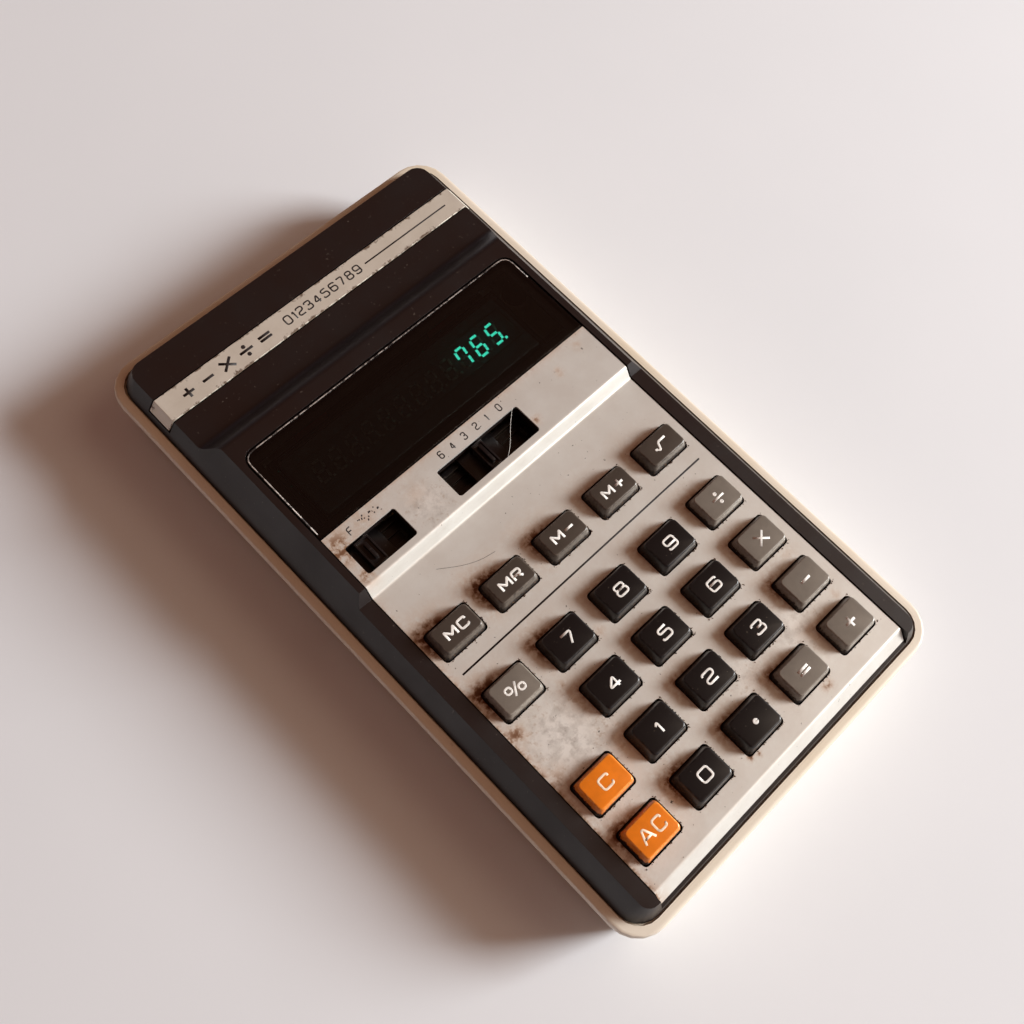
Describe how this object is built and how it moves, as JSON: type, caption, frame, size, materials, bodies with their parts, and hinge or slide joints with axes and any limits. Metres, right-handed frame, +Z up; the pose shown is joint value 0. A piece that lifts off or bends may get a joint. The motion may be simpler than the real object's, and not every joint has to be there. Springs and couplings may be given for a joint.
{
  "type": "pocket calculator",
  "caption": "Handheld calculator with a stepped black top case in a cream tray, metal face plate, sprung keys, selector switches, smoked display window and battery door.",
  "frame": {"origin": "centre of the footprint on the table under the case", "axes": "+X to the right of the keys, +Y towards the display end, +Z up out of the key faces"},
  "size_m": [0.0874, 0.1498, 0.0222],
  "materials": {
    "cream_shell": "fine moulded texture",
    "black_shell": "satin moulded ABS",
    "face_metal": "satin anodised, worn and spotted",
    "trim_metal": "satin",
    "smoked_window": "polished smoked acrylic",
    "tube_glass": "clear glass over a dark anode plate",
    "black_plastic": "moulded",
    "circuit_board": "phenolic paper board",
    "contact_rubber": "matt",
    "chip_epoxy": "moulded",
    "ferrite": "sintered",
    "capacitor_sleeve": "shrunk sleeve",
    "switch_steel": "plated",
    "umber_key": "satin double-shot plastic",
    "grey_key": "satin double-shot plastic",
    "black_key": "satin double-shot plastic",
    "orange_key": "satin double-shot plastic",
    "cell_jacket": "printed metal jacket",
    "plated_steel": "nickel plated",
    "screw_steel": "zinc plated"
  },
  "bodies": {
    "case": {"adapter_jack": "black_plastic", "battery_cell_1": "cell_jacket", "battery_cell_2": "cell_jacket", "battery_spring_1": "plated_steel", "battery_spring_2": "plated_steel", "bottom_case": "cream_shell", "case_screw_1": "screw_steel", "case_screw_2": "screw_steel", "case_screw_3": "screw_steel", "case_screw_4": "screw_steel", "contact_link": "plated_steel", "contact_minus": "plated_steel", "contact_plus": "plated_steel", "contact_sheet": "contact_rubber", "converter_transformer": "ferrite", "decimal_switch_body": "switch_steel", "display_holder": "black_plastic", "display_tube": "tube_glass", "display_window": "smoked_window", "driver_chip": "chip_epoxy", "face_plate": "face_metal", "filter_capacitor": "capacitor_sleeve", "keyboard_board": "circuit_board", "main_board": "circuit_board", "power_switch_body": "switch_steel", "processor_chip": "chip_epoxy", "rounding_switch_body": "switch_steel", "top_case": "black_shell", "trim_strip": "trim_metal"},
    "key_mc": {"key_mc": "umber_key"},
    "key_mr": {"key_mr": "umber_key"},
    "key_m_minus": {"key_m_minus": "umber_key"},
    "key_m_plus": {"key_m_plus": "umber_key"},
    "key_root": {"key_root": "umber_key"},
    "key_percent": {"key_percent": "grey_key"},
    "key_7": {"key_7": "black_key"},
    "key_8": {"key_8": "black_key"},
    "key_9": {"key_9": "black_key"},
    "key_divide": {"key_divide": "grey_key"},
    "key_4": {"key_4": "black_key"},
    "key_5": {"key_5": "black_key"},
    "key_6": {"key_6": "black_key"},
    "key_multiply": {"key_multiply": "grey_key"},
    "key_c": {"key_c": "orange_key"},
    "key_1": {"key_1": "black_key"},
    "key_2": {"key_2": "black_key"},
    "key_3": {"key_3": "black_key"},
    "key_minus": {"key_minus": "grey_key"},
    "key_ac": {"key_ac": "orange_key"},
    "key_0": {"key_0": "black_key"},
    "key_point": {"key_point": "black_key"},
    "key_equals": {"key_equals": "grey_key"},
    "key_plus": {"key_plus": "grey_key"},
    "rounding_switch_knob": {"rounding_switch_knob": "black_plastic"},
    "decimal_switch_knob": {"decimal_switch_knob": "black_plastic"},
    "power_switch_knob": {"power_switch_knob": "black_plastic"},
    "battery_door": {"battery_door": "cream_shell"}
  },
  "joints": [
    {"name": "key_mc_press", "type": "slide", "parent": "case", "child": "key_mc", "axis": [0, 0, -1], "range_m": [0, 0.0013], "stiffness_N_per_m": 350, "springref_m": -0.0007},
    {"name": "key_mr_press", "type": "slide", "parent": "case", "child": "key_mr", "axis": [0, 0, -1], "range_m": [0, 0.0013], "stiffness_N_per_m": 350, "springref_m": -0.0007},
    {"name": "key_m_minus_press", "type": "slide", "parent": "case", "child": "key_m_minus", "axis": [0, 0, -1], "range_m": [0, 0.0013], "stiffness_N_per_m": 350, "springref_m": -0.0007},
    {"name": "key_m_plus_press", "type": "slide", "parent": "case", "child": "key_m_plus", "axis": [0, 0, -1], "range_m": [0, 0.0013], "stiffness_N_per_m": 350, "springref_m": -0.0007},
    {"name": "key_root_press", "type": "slide", "parent": "case", "child": "key_root", "axis": [0, 0, -1], "range_m": [0, 0.0013], "stiffness_N_per_m": 350, "springref_m": -0.0007},
    {"name": "key_percent_press", "type": "slide", "parent": "case", "child": "key_percent", "axis": [0, 0, -1], "range_m": [0, 0.0013], "stiffness_N_per_m": 350, "springref_m": -0.0007},
    {"name": "key_7_press", "type": "slide", "parent": "case", "child": "key_7", "axis": [0, 0, -1], "range_m": [0, 0.0013], "stiffness_N_per_m": 350, "springref_m": -0.0007},
    {"name": "key_8_press", "type": "slide", "parent": "case", "child": "key_8", "axis": [0, 0, -1], "range_m": [0, 0.0013], "stiffness_N_per_m": 350, "springref_m": -0.0007},
    {"name": "key_9_press", "type": "slide", "parent": "case", "child": "key_9", "axis": [0, 0, -1], "range_m": [0, 0.0013], "stiffness_N_per_m": 350, "springref_m": -0.0007},
    {"name": "key_divide_press", "type": "slide", "parent": "case", "child": "key_divide", "axis": [0, 0, -1], "range_m": [0, 0.0013], "stiffness_N_per_m": 350, "springref_m": -0.0007},
    {"name": "key_4_press", "type": "slide", "parent": "case", "child": "key_4", "axis": [0, 0, -1], "range_m": [0, 0.0013], "stiffness_N_per_m": 350, "springref_m": -0.0007},
    {"name": "key_5_press", "type": "slide", "parent": "case", "child": "key_5", "axis": [0, 0, -1], "range_m": [0, 0.0013], "stiffness_N_per_m": 350, "springref_m": -0.0007},
    {"name": "key_6_press", "type": "slide", "parent": "case", "child": "key_6", "axis": [0, 0, -1], "range_m": [0, 0.0013], "stiffness_N_per_m": 350, "springref_m": -0.0007},
    {"name": "key_multiply_press", "type": "slide", "parent": "case", "child": "key_multiply", "axis": [0, 0, -1], "range_m": [0, 0.0013], "stiffness_N_per_m": 350, "springref_m": -0.0007},
    {"name": "key_c_press", "type": "slide", "parent": "case", "child": "key_c", "axis": [0, 0, -1], "range_m": [0, 0.0013], "stiffness_N_per_m": 350, "springref_m": -0.0007},
    {"name": "key_1_press", "type": "slide", "parent": "case", "child": "key_1", "axis": [0, 0, -1], "range_m": [0, 0.0013], "stiffness_N_per_m": 350, "springref_m": -0.0007},
    {"name": "key_2_press", "type": "slide", "parent": "case", "child": "key_2", "axis": [0, 0, -1], "range_m": [0, 0.0013], "stiffness_N_per_m": 350, "springref_m": -0.0007},
    {"name": "key_3_press", "type": "slide", "parent": "case", "child": "key_3", "axis": [0, 0, -1], "range_m": [0, 0.0013], "stiffness_N_per_m": 350, "springref_m": -0.0007},
    {"name": "key_minus_press", "type": "slide", "parent": "case", "child": "key_minus", "axis": [0, 0, -1], "range_m": [0, 0.0013], "stiffness_N_per_m": 350, "springref_m": -0.0007},
    {"name": "key_ac_press", "type": "slide", "parent": "case", "child": "key_ac", "axis": [0, 0, -1], "range_m": [0, 0.0013], "stiffness_N_per_m": 350, "springref_m": -0.0007},
    {"name": "key_0_press", "type": "slide", "parent": "case", "child": "key_0", "axis": [0, 0, -1], "range_m": [0, 0.0013], "stiffness_N_per_m": 350, "springref_m": -0.0007},
    {"name": "key_point_press", "type": "slide", "parent": "case", "child": "key_point", "axis": [0, 0, -1], "range_m": [0, 0.0013], "stiffness_N_per_m": 350, "springref_m": -0.0007},
    {"name": "key_equals_press", "type": "slide", "parent": "case", "child": "key_equals", "axis": [0, 0, -1], "range_m": [0, 0.0013], "stiffness_N_per_m": 350, "springref_m": -0.0007},
    {"name": "key_plus_press", "type": "slide", "parent": "case", "child": "key_plus", "axis": [0, 0, -1], "range_m": [0, 0.0013], "stiffness_N_per_m": 350, "springref_m": -0.0007},
    {"name": "rounding_switch_slide", "type": "slide", "parent": "case", "child": "rounding_switch_knob", "axis": [1, 0, 0], "range_m": [0, 0.0068]},
    {"name": "decimal_switch_slide", "type": "slide", "parent": "case", "child": "decimal_switch_knob", "axis": [1, 0, 0], "range_m": [-0.00624, 0.00936]},
    {"name": "power_switch_slide", "type": "slide", "parent": "case", "child": "power_switch_knob", "axis": [0, 1, 0], "range_m": [-0.005, 0]},
    {"name": "battery_door_slide", "type": "slide", "parent": "case", "child": "battery_door", "axis": [0, 1, 0], "range_m": [0, 0.034]}
  ]
}
